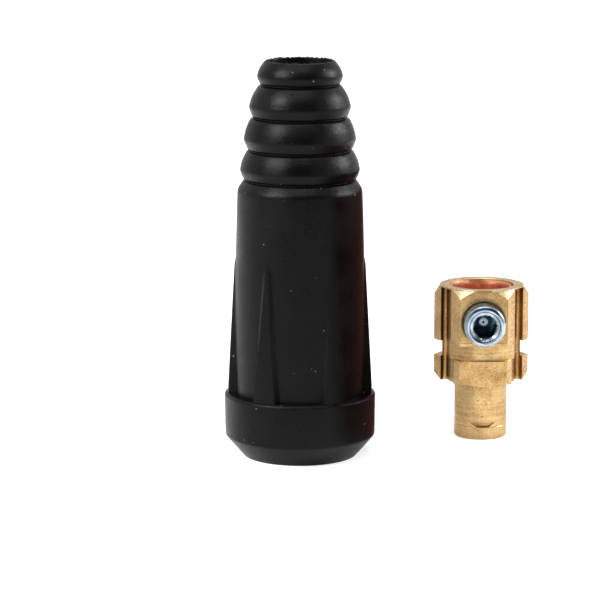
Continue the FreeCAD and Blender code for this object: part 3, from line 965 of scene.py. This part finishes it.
@dataclass
class RubberSleeve:
    """The moulded sleeve: collar, ribbed body, four rolls and the hollow that takes the contact."""

    height: float = 95.7 * MM
    collar_radius: float = 18.25 * MM
    collar_height: float = 15.5 * MM
    collar_taper: float = 0.15 * MM
    foot_cone_height: float = 5.15 * MM
    mouth_face_radius: float = 13.6 * MM
    mouth_radius: float = 12.6 * MM
    mouth_depth: float = 14.0 * MM
    seat_corner_radius: float = 11.85 * MM
    seat_apothem: float = 10.28 * MM
    seat_ring_radius: float = 9.85 * MM
    seat_ring_low: float = 20.65 * MM
    seat_ring_high: float = 24.15 * MM
    seat_top: float = 38.5 * MM
    throat_radius: float = 9.6 * MM
    throat_top: float = 46.5 * MM
    passage_radius: float = 7.8 * MM
    body_foot_radius: float = 15.75 * MM
    body_middle_radius: float = 15.5 * MM
    body_middle_height: float = 46.0 * MM
    body_top_radius: float = 14.95 * MM
    shoulder_height: float = 2.3 * MM
    shoulder_radius: float = 13.6 * MM
    groove_depth: float = 0.75 * MM
    groove_ridge_inset: float = 0.14 * MM
    last_groove: float = 0.45 * MM
    rim_flash: float = 0.35 * MM
    rib_count: int = 6
    rib_foot_width: float = 5.6 * MM
    rib_tip_width: float = 0.9 * MM
    rib_foot_radius: float = 17.5 * MM
    rib_tip_radius: float = 15.72 * MM
    rib_tip_height: float = 47.5 * MM
    rib_side: float = 0.85 * MM
    rib_inner_share: float = 0.25
    rib_end_share: float = 1.03
    rib_fade_share: float = 0.05
    rib_edge_turn: float = 8.4
    rib_foot_turn: float = 12.0
    rib_row: float = 0.55 * MM
    key_width: float = 1.9 * MM
    key_depth: float = 5.2 * MM
    key_height: float = 22.0 * MM
    key_offset: float = 9.0 * MM
    key_front: float = -3.9 * MM
    key_middle: float = 26.4 * MM
    key_rounding: float = 0.4 * MM
    lump_size: float = 0.65 * MM
    rim_band: float = 0.12 * MM
    turns: int = 300
    quick_turns: int = 100

    @property
    def body_top_height(self) -> float:
        """Height of the body's upper end, below the shoulder."""
        rolls = sum(roll.height + roll.groove for roll in self.rolls())
        return self.height - rolls - self.last_groove - self.shoulder_height

    def rolls(self) -> list[Roll]:
        """The four rolls, from the cable end down."""
        sizes = (
            (8.4, 5.45, 10.3, 1.55, 9.65, 0.38, 0.00),
            (9.85, 7.55, 12.2, 2.1, 11.45, 0.45, 0.30),
            (11.8, 7.25, 13.47, 2.2, 12.55, 0.30, 0.55),
            (12.75, 6.55, 14.38, 1.85, 13.6, 0.32, 0.50),
        )
        return [Roll(*(size * MM for size in row)) for row in sizes]

    def roll_corners(self, top: float) -> tuple[list[Corner], float]:
        """Outline of the rolls, from the cable end down to the shoulder.

        Below each roll the groove is a slot, a thin ridge and a second slot.

        Args:
            top: height of the cable end.

        Returns:
            The corners and the height at which the shoulder starts.
        """
        corners: list[Corner] = []
        height = top - self.rim_flash
        foot_height = top
        for i, roll in enumerate(self.rolls()):
            foot_height -= roll.height if i == 0 else roll.height + roll.groove
            edge = Corner(roll.top_radius, height, (0.3 if i == 0 else 0.75) * MM)
            belly = Corner(roll.belly_radius, foot_height + roll.belly_height, 1.7 * MM)
            ridge = roll.foot_radius - self.groove_ridge_inset
            floor = roll.foot_radius - self.groove_depth
            corners += [
                edge,
                bowed(edge, belly, roll.bulge),
                belly,
                Corner(roll.foot_radius, foot_height, 0.3 * MM),
                Corner(floor, foot_height - 0.06 * MM, 0.0),
                Corner(floor, foot_height - 0.18 * MM, 0.0),
                Corner(ridge, foot_height - 0.22 * MM, 0.08 * MM),
                Corner(ridge, foot_height - 0.40 * MM, 0.08 * MM),
                Corner(floor + 0.1 * MM, foot_height - 0.46 * MM, 0.0),
                Corner(floor + 0.1 * MM, foot_height - 0.58 * MM, 0.0),
            ]
            height = foot_height - 0.62 * MM
        return corners, height

    def body_radius(self, height: float) -> float:
        """Radius of the bowed body between the collar and the shoulder.

        Args:
            height: height above the floor.

        Returns:
            The radius there, on a curve through the three measured ones.
        """
        measured = (
            (self.collar_height, self.body_foot_radius),
            (self.body_middle_height, self.body_middle_radius),
            (self.body_top_height, self.body_top_radius),
        )
        total = 0.0
        for own, radius in measured:
            others = [other for other, _ in measured if other != own]
            total += radius * math.prod((height - other) / (own - other) for other in others)
        return total

    def body_corners(self) -> list[Corner]:
        """Rows of the body from above the ribs down to the collar, close enough to shape the ribs."""
        start = self.rib_tip_height + 2 * self.rib_row
        count = round((start - self.collar_height) / self.rib_row)
        coarse = [start + (self.body_top_height - start) * share / 8 for share in range(7, 0, -1)]
        fine = [start + (self.collar_height - start) * i / count for i in range(count + 1)]
        return [Corner(self.body_radius(height), height) for height in coarse + fine]

    def outline(self, top: float) -> list[Vector]:
        """The sleeve's whole section, outside and inside, as one closed ring.

        Args:
            top: height of the cable end.

        Returns:
            The rounded points.
        """
        rolls, shoulder = self.roll_corners(top)
        inside = self.passage_radius
        corners = [
            Corner(inside, top - self.rim_flash, 0.25 * MM),
            *rolls,
            Corner(self.shoulder_radius, shoulder, 0.9 * MM),
            Corner(self.body_top_radius, self.body_top_height, 2.6 * MM),
            *self.body_corners(),
            Corner(self.collar_radius, self.collar_height, 0.75 * MM),
            Corner(self.collar_radius - self.collar_taper, self.foot_cone_height, 1.2 * MM),
            Corner(self.mouth_face_radius, 0.0, 0.4 * MM),
            Corner(self.mouth_radius, 0.0, 0.25 * MM),
            Corner(self.mouth_radius, self.mouth_depth, 0.3 * MM),
            Corner(self.seat_ring_radius, self.mouth_depth, 0.0),
            Corner(self.seat_ring_radius, self.seat_top, 0.0),
            Corner(self.throat_radius, self.seat_top, 0.2 * MM),
            Corner(inside, self.throat_top, 0.6 * MM),
        ]
        return rounded(corners)

    def lead_columns(self, turn: float, half: float, radius: float, share: float) -> float:
        """Where a column of vertices goes, so that columns run along a rib's slanting edges.

        Args:
            turn: the column's angle from the rib's middle.
            half: half the rib's width at this height.
            radius: radius of the body at this height.
            share: height along the rib, 0 at its foot and 1 at its tip.

        Returns:
            The new angle from the rib's middle.
        """
        edge = (half - self.rib_inner_share * self.rib_side) / radius
        foot = (half + (1 - self.rib_inner_share) * self.rib_side) / radius
        end = math.pi / self.rib_count
        edge_turn, foot_turn = math.radians(self.rib_edge_turn), math.radians(self.rib_foot_turn)
        knots = ((0.0, 0.0), (edge_turn, edge), (foot_turn, foot), (end, end))
        for (start, low), (stop, high) in zip(knots, knots[1:]):
            if turn <= stop + 1e-9:
                led = low + (high - low) * (turn - start) / (stop - start)
                break
        body_share = (self.body_top_height - self.collar_height) / (self.rib_tip_height - self.collar_height)
        free = (share - self.rib_end_share) / (body_share - self.rib_end_share)
        return led + (turn - led) * min(1.0, max(0.0, free))

    def raise_ribs(self, sleeve: bpy.types.Object) -> None:
        """Moves the body's vertices out where the grip ribs are, with soft sides.

        Args:
            sleeve: the turned sleeve.
        """
        span = self.rib_tip_height - self.collar_height
        step = math.tau / self.rib_count
        top_share = (self.body_top_height - self.collar_height) / span
        for vertex in sleeve.data.vertices:
            place = vertex.co
            radius = math.hypot(place.x, place.y)
            share = (place.z - self.collar_height) / span
            if not -1e-6 < share < top_share or radius < self.throat_radius + MM:
                continue
            if abs(radius - self.body_radius(place.z)) > 0.1 * MM:
                continue
            angle = math.atan2(place.y, place.x)
            middle = round(angle / step) * step
            rib_share = min(share, self.rib_end_share)
            half = (self.rib_foot_width + (self.rib_tip_width - self.rib_foot_width) * rib_share) / 2
            turn = self.lead_columns(abs(angle - middle), half, radius, share)
            outer = self.rib_foot_radius + (self.rib_tip_radius - self.rib_foot_radius) * share
            rise = max(0.0, min(1.0, 1 - self.rib_inner_share - (turn * radius - half) / self.rib_side))
            rise *= rise * (3 - 2 * rise)
            rise *= max(0.0, min(1.0, (self.rib_end_share - share) / self.rib_fade_share))
            grown = radius + max(0.0, outer - radius) * rise
            angle = middle + math.copysign(turn, angle - middle)
            vertex.co.x = grown * math.cos(angle)
            vertex.co.y = grown * math.sin(angle)

    def make_seat_tools(self) -> list[bpy.types.Object]:
        """The two hexagonal pockets above and below the snap ring, with their corners turned round."""
        tools = []
        corner = self.seat_apothem / math.cos(math.radians(30))
        for i, (low, high) in enumerate(((self.mouth_depth - MM, self.seat_ring_low),
                                         (self.seat_ring_high, self.seat_top))):
            tool = prism(f"seat_tool_{i}", 6, corner, low, high)
            work_in(tool, prism("seat_round", 96, self.seat_corner_radius, low - MM, high + MM),
                    Joining.KEEP_COMMON)
            tools.append(tool)
        return tools

    def make_keys(self) -> bpy.types.Object:
        """The two keys that slide into the contact's channels."""
        keys = []
        for side in (-1, 1):
            bpy.ops.mesh.primitive_cube_add(size=1.0)
            key = bpy.context.object
            key.scale = (self.key_width, self.key_depth, self.key_height)
            key.location = (side * self.key_offset, self.key_front, self.key_middle)
            settle(key)
            with Editing(key):
                bpy.ops.mesh.select_all(action="SELECT")
                bpy.ops.mesh.bevel(offset=self.key_rounding, segments=3, affect="EDGES")
            keys.append(key)
        choose(keys[0])
        keys[1].select_set(True)
        bpy.ops.object.join()
        return keys[0]

    def roughen_rim(self, piece: bpy.types.Object, top: float) -> None:
        """Raises small lumps of flash on the rim of the cable end.

        Args:
            piece: the sleeve.
            top: height that the highest lump may reach.
        """
        rim = piece.vertex_groups.new(name="rim")
        band = top - self.rim_flash - self.rim_band
        for vertex in piece.data.vertices:
            if vertex.co.z > band:
                inner = math.hypot(vertex.co.x, vertex.co.y) < self.passage_radius + 0.3 * MM
                rim.add([vertex.index], 1.0 if inner else 0.3, "REPLACE")
        lumps = bpy.data.textures.new("flash lumps", "CLOUDS")
        lumps.noise_scale = self.lump_size
        lumps.noise_depth = 2
        lumps.contrast = 2.4
        modifier = piece.modifiers.new("Flash", "DISPLACE")
        modifier.texture = lumps
        modifier.texture_coords = "LOCAL"
        modifier.direction = "Z"
        modifier.mid_level = 0.0
        modifier.strength = self.rim_flash * 0.95
        modifier.vertex_group = rim.name
        finish_modifier(piece, modifier)

    def build(self, effects: Effects) -> bpy.types.Object:
        """Models and dresses the sleeve.

        Args:
            effects: the shared surface effects.

        Returns:
            The sleeve.
        """
        low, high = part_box("rubber_sleeve")
        sleeve = lathe("sleeve", self.outline(high[2]), self.turns)
        self.raise_ribs(sleeve)
        for tool in self.make_seat_tools():
            work_in(sleeve, tool, Joining.CUT)
        work_in(sleeve, self.make_keys(), Joining.ADD)
        self.roughen_rim(sleeve, high[2])
        smooth(sleeve, 40.0)
        sleeve.data.materials.clear()
        sleeve.data.materials.append(MouldedRubber().make(effects))
        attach(sleeve, PLUG_PARTS)
        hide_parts("rubber_sleeve")
        log.info("sleeve: %d faces", len(sleeve.data.polygons))
        return sleeve


@dataclass
class BrassContact:
    """The contact: a hexagonal bar turned down to a pin, with channels, groove and cross hole."""

    edge_width: float = 0.10 * MM
    slice_step: float = 1.4 * MM
    groove_low: float = 20.5 * MM
    groove_high: float = 24.3 * MM
    head_foot: float = 14.3 * MM
    cone_foot: float = 35.0 * MM
    flat_distance: float = 10.13 * MM
    channel_sides: tuple[float, float] = (8.1 * MM, 10.3 * MM)
    channel_depths: tuple[float, float] = (-3.4 * MM, -1.0 * MM)
    wing_start: float = 7.0 * MM

    def surface_of(self, face: bpy.types.MeshPolygon, axis: Vector) -> BrassSurface:
        """Tells how a face was made, or which shade or highlight is painted on it, from where it lies and
        where it points.

        Args:
            face: the face.
            axis: a point on the contact's axis.

        Returns:
            The kind of surface.
        """
        place = face.center - axis
        normal = face.normal
        (inner, outer), (front, back) = self.channel_sides, self.channel_depths
        in_channel = inner < abs(place.x) < outer and front < place.y < back
        # Channel walls get painted shade: black on the left wing's inner wall, brown on the other walls.
        if in_channel and abs(normal.z) < 0.2:
            if place.x * normal.x < 0 and abs(normal.x) > 0.6:
                return BrassSurface.BLACK_SHADE_WALL if place.x < 0 else BrassSurface.SHADE_WALL
            return BrassSurface.SHADE_WALL if abs(normal.x) > 0.75 else BrassSurface.DRAWN
        # The front corner facets that face up are polished and carry a painted highlight.
        if place.z > self.cone_foot and 0.3 < normal.z < 0.9 and place.y < -self.wing_start:
            return BrassSurface.POLISHED_HIGHLIGHT
        if place.z < self.head_foot or abs(normal.z) > 0.05:
            return BrassSurface.TURNED
        in_groove = self.groove_low < place.z < self.groove_high
        if not in_groove and abs(place.x) > self.wing_start and place.y < 0:
            return BrassSurface.MILLED if place.x > 0 else BrassSurface.DRAWN
        if abs(abs(place.y) - self.flat_distance) < 0.15 * MM:
            return BrassSurface.DRAWN
        return BrassSurface.TURNED

    def build(self, effects: Effects) -> bpy.types.Object:
        """Dresses a copy of the solid, with its edges broken.

        Args:
            effects: the shared surface effects.

        Returns:
            The contact.
        """
        low, high = (Vector(corner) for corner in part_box("brass_contact"))
        axis = Vector(((low.x + high.x) / 2, (low.y + high.y) / 2, 0))
        contact = copy_of_node("brass_contact", "contact")
        break_edges(contact, self.edge_width, 13.0)
        smooth(contact, 30.0)
        slice_up(contact, self.slice_step)
        mark_occlusion(contact, 3.0 * MM)
        kinds = list(BrassSurface)
        for kind in kinds:
            contact.data.materials.append(Brass().make(effects, kind, axis))
        for face in contact.data.polygons:
            face.material_index = kinds.index(self.surface_of(face, axis))
        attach(contact, PLUG_PARTS)
        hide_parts("brass_contact")
        log.info("contact: %d faces", len(contact.data.polygons))
        return contact


@dataclass
class CopperLiner:
    """A strip rolled into the bore, with one end lapping a little inside the other."""

    wall: float = 0.35 * MM
    lap_angle: float = 9.0
    lap_reach: float = 19.8
    first_angle: float = 88.0
    lap_depth: float = 0.42 * MM
    corner_width: float = 1.3 * MM
    corner_depth: float = 1.4 * MM
    columns: int = 150
    rows: int = 18
    pressed_share: float = 0.65

    def build(self, effects: Effects) -> bpy.types.Object:
        """Rolls a flat strip up and gives it its wall.

        Args:
            effects: the shared surface effects.

        Returns:
            The liner.
        """
        low, high = (Vector(corner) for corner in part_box("copper_liner"))
        centre = (low + high) / 2
        radius = (high.x - low.x) / 2
        bpy.ops.mesh.primitive_grid_add(x_subdivisions=self.columns, y_subdivisions=self.rows, size=1.0)
        liner = bpy.context.object
        liner.name = "liner"
        height = high.z - low.z
        turn = math.tau + math.radians(self.lap_angle)
        lap = math.radians(self.lap_reach)
        corner = self.corner_width / radius
        for vertex in liner.data.vertices:
            along = (vertex.co.x + 0.5) * turn
            up = vertex.co.y + 0.5
            top = height
            if along < corner:
                top -= self.corner_depth * (1 - along / corner)
            inward = self.lap_depth * max(0.0, 1 - along / lap) ** 0.7
            reach = radius - self.wall / 2 - inward
            angle = math.radians(self.first_angle) + along
            vertex.co = Vector((centre.x + reach * math.cos(angle), centre.y + reach * math.sin(angle),
                                low.z + up * top))
        wall = liner.modifiers.new("Wall", "SOLIDIFY")
        wall.thickness = self.wall
        wall.offset = 0.0
        finish_modifier(liner, wall)
        break_edges(liner, 0.07 * MM, 40.0)
        close_seams(liner, 1e-7)
        smooth(liner, 35.0)
        mark_occlusion(liner, 6.0 * MM)
        liner.data.materials.clear()
        liner.data.materials.append(RolledCopper().make(effects, centre))
        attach(liner, PLUG_PARTS)
        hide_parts("copper_liner")
        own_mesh(liner)
        log.info("liner: %d faces", len(liner.data.polygons))
        return liner


@dataclass
class ClampScrew:
    """The set screw that clamps the cable, plain outside, with chamfers and a hexagon socket."""

    edge_width: float = 0.06 * MM
    slice_step: float = 0.7 * MM
    socket_radius: float = 3.2 * MM
    disc_radius: float = 1.06 * MM
    mouth_depth: float = 0.6 * MM

    def build(self, effects: Effects) -> bpy.types.Object:
        """Dresses a copy of the solid, with its edges broken.

        Args:
            effects: the shared surface effects.

        Returns:
            The screw.
        """
        low, high = (Vector(corner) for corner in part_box("clamp_screw"))
        axis = Vector(((low.x + high.x) / 2, low.y, (low.z + high.z) / 2))
        screw = copy_of_node("clamp_screw", "set_screw")
        break_edges(screw, self.edge_width)
        smooth(screw, 30.0)
        slice_up(screw, self.slice_step)
        mark_occlusion(screw, 1.5 * MM)
        for zone in ZincZone:
            screw.data.materials.append(BrightZinc().make(effects, zone, axis))
        tip = high.y - low.y - 0.3 * MM
        # Faces down in the socket take the painted socket shade; the small disc at its bottom keeps a plain
        # tone.
        for face in screw.data.polygons:
            place = face.center - axis
            out = math.hypot(place.x, place.z)
            if out < self.socket_radius and self.mouth_depth < place.y < tip:
                on_disc = out < self.disc_radius and face.normal.y < -0.5
                face.material_index = 2 if on_disc else 1
        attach(screw, SCREW)
        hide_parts("clamp_screw")
        log.info("screw: %d faces", len(screw.data.polygons))
        return screw


@dataclass
class Studio:
    """Plain pale floor, soft lamps and the camera."""

    picture_width: float = 600.0
    camera_distance: float = 0.680
    camera_height: float = 0.163
    camera_pitch: float = 10.42
    focal_pixels: float = 2873.0
    centre_row: float = 299.2
    floor_size: float = 8.0
    floor_glow: float = 0.62
    floor_mirrored: float = 0.3
    world_light: float = 0.45

    def camera(self) -> None:
        """Places the camera in front of the sleeve, looking slightly down."""
        data = bpy.data.cameras.new("camera")
        data.sensor_width = 36.0
        data.lens = self.focal_pixels / self.picture_width * data.sensor_width
        data.shift_y = (self.centre_row - self.picture_width / 2) / self.picture_width
        data.clip_start = 0.01
        camera = bpy.data.objects.new("camera", data)
        camera.location = (0, -self.camera_distance, self.camera_height)
        camera.rotation_euler = (math.radians(90 - self.camera_pitch), 0, 0)
        bpy.context.collection.objects.link(camera)
        bpy.context.scene.camera = camera

    def floor(self) -> None:
        """A white floor that keeps the soft shadow."""
        bpy.ops.mesh.primitive_plane_add(size=self.floor_size, location=(0, 0, 0))
        plane = bpy.context.object
        plane.name = "floor"
        material = bpy.data.materials.new("white_floor")
        material.use_nodes = True
        graph = Graph(material.node_tree)
        paper = graph.add("ShaderNodeBsdfDiffuse")
        paper.inputs["Color"].default_value = (0.8, 0.8, 0.8, 1)
        glow = graph.add("ShaderNodeEmission")
        path = graph.add("ShaderNodeLightPath")
        mirrored = graph.maths("ADD", path.outputs["Is Glossy Ray"], path.outputs["Is Transmission Ray"])
        seen = graph.maths("ADD", graph.maths("MULTIPLY", path.outputs["Is Camera Ray"], self.floor_glow),
                           graph.maths("MULTIPLY", mirrored, self.floor_mirrored))
        graph.feed(seen, glow.inputs["Strength"])
        both = graph.add("ShaderNodeAddShader")
        graph.feed(paper.outputs[0], both.inputs[0])
        graph.feed(glow.outputs[0], both.inputs[1])
        output = graph.add("ShaderNodeOutputMaterial")
        graph.feed(both.outputs[0], output.inputs["Surface"])
        plane.data.materials.append(material)

    def world(self) -> None:
        """White to the camera and in reflections, and a plain soft level as light."""
        world = bpy.data.worlds.new("studio")
        world.use_nodes = True
        bpy.context.scene.world = world
        graph = Graph(world.node_tree)
        path = graph.add("ShaderNodeLightPath")
        seen = graph.maths("ADD", path.outputs["Is Camera Ray"], path.outputs["Is Glossy Ray"])
        seen = graph.maths("ADD", seen, path.outputs["Is Transmission Ray"], clamp=True)
        sky = graph.add("ShaderNodeBackground")
        graph.feed(graph.span(seen, 0.0, 1.0, self.world_light, 1.0), sky.inputs["Strength"])
        output = graph.add("ShaderNodeOutputWorld")
        graph.feed(sky.outputs[0], output.inputs["Surface"])

    def card(self, name: str, place: Colour, size: tuple[float, float], tone: Colour,
             target: Colour = (0.02, 0, 0.045)) -> None:
        """Stands a card that shows in reflections only, and from its front side only.

        Args:
            name: the card's name.
            place: where its middle is.
            size: its width and height.
            tone: its colour as seen in a reflection.
            target: the point that it faces.
        """
        bpy.ops.mesh.primitive_plane_add(size=1.0, location=place)
        card = bpy.context.object
        card.name = name
        card.scale = (size[0], size[1], 1.0)
        card.rotation_euler = (Vector(target) - Vector(place)).to_track_quat("Z", "Y").to_euler()
        material = bpy.data.materials.new(name)
        material.use_nodes = True
        graph = Graph(material.node_tree)
        glow = graph.add("ShaderNodeEmission")
        glow.inputs["Color"].default_value = (*tone, 1.0)
        clear = graph.add("ShaderNodeBsdfTransparent")
        sides = graph.add("ShaderNodeMixShader")
        graph.feed(graph.add("ShaderNodeNewGeometry").outputs["Backfacing"], sides.inputs[0])
        graph.feed(glow.outputs[0], sides.inputs[1])
        graph.feed(clear.outputs[0], sides.inputs[2])
        output = graph.add("ShaderNodeOutputMaterial")
        graph.feed(sides.outputs[0], output.inputs["Surface"])
        card.data.materials.append(material)
        card.visible_camera = False
        card.visible_diffuse = False
        card.visible_shadow = False
        card.visible_transmission = False

    def lamp(self, name: str, place: Colour, size: tuple[float, float], power: float,
             colour: Colour = (1, 1, 1), target: Colour = (0.02, 0, 0.045)) -> None:
        """Hangs a soft rectangular lamp that points at the object.

        Args:
            name: the lamp's name.
            place: where it hangs.
            size: its width and height.
            power: its power in watts.
            colour: its colour.
            target: the point that it faces.
        """
        data = bpy.data.lights.new(name, "AREA")
        data.shape = "RECTANGLE"
        data.size, data.size_y = size
        data.energy = power
        data.color = colour
        lamp = bpy.data.objects.new(name, data)
        lamp.location = place
        aim = Vector(target) - Vector(place)
        lamp.rotation_euler = aim.to_track_quat("-Z", "Y").to_euler()
        bpy.context.collection.objects.link(lamp)

    def build(self) -> None:
        """Sets up the whole studio."""
        self.camera()
        self.floor()
        self.world()
        self.card("front_card", (0.0, -1.35, 0.70), (2.8, 1.8), (0.06, 0.06, 0.06))
        self.card("side_card", (0.0245, 0.003, 0.033), (0.052, 0.07), (0.27, 0.095, 0.080),
                  (0.0, 0.003, 0.033))
        self.card("parting_card", (0.026, 0.02, 0.03), (0.09, 0.06), (0.75, 0.75, 0.75),
                  (0.2, 0.02, 0.03))
        self.lamp("left_box", (-0.68, -0.46, 0.68), (0.28, 0.36), 10.5)
        self.lamp("right_box", (0.90, 0.20, 0.44), (0.26, 0.26), 6.0)
        self.lamp("front_box", (0.05, -0.48, 0.84), (0.5, 0.26), 1.8)
        self.lamp("top_box", (0.0, 0.08, 0.95), (0.6, 0.5), 3.0)
        settings = bpy.context.scene.view_settings
        settings.view_transform = "Standard"
        log.info("studio: camera and lamps")


def main() -> None:
    """Builds the studio and every piece."""
    logging.basicConfig(level=logging.INFO, format="%(name)s %(message)s")
    Studio().build()
    effects = Effects.build()
    RubberSleeve().build(effects)
    BrassContact().build(effects)
    CopperLiner().build(effects)
    ClampScrew().build(effects)
    bpy.ops.object.select_all(action="DESELECT")


if __name__ == "__main__":
    main()
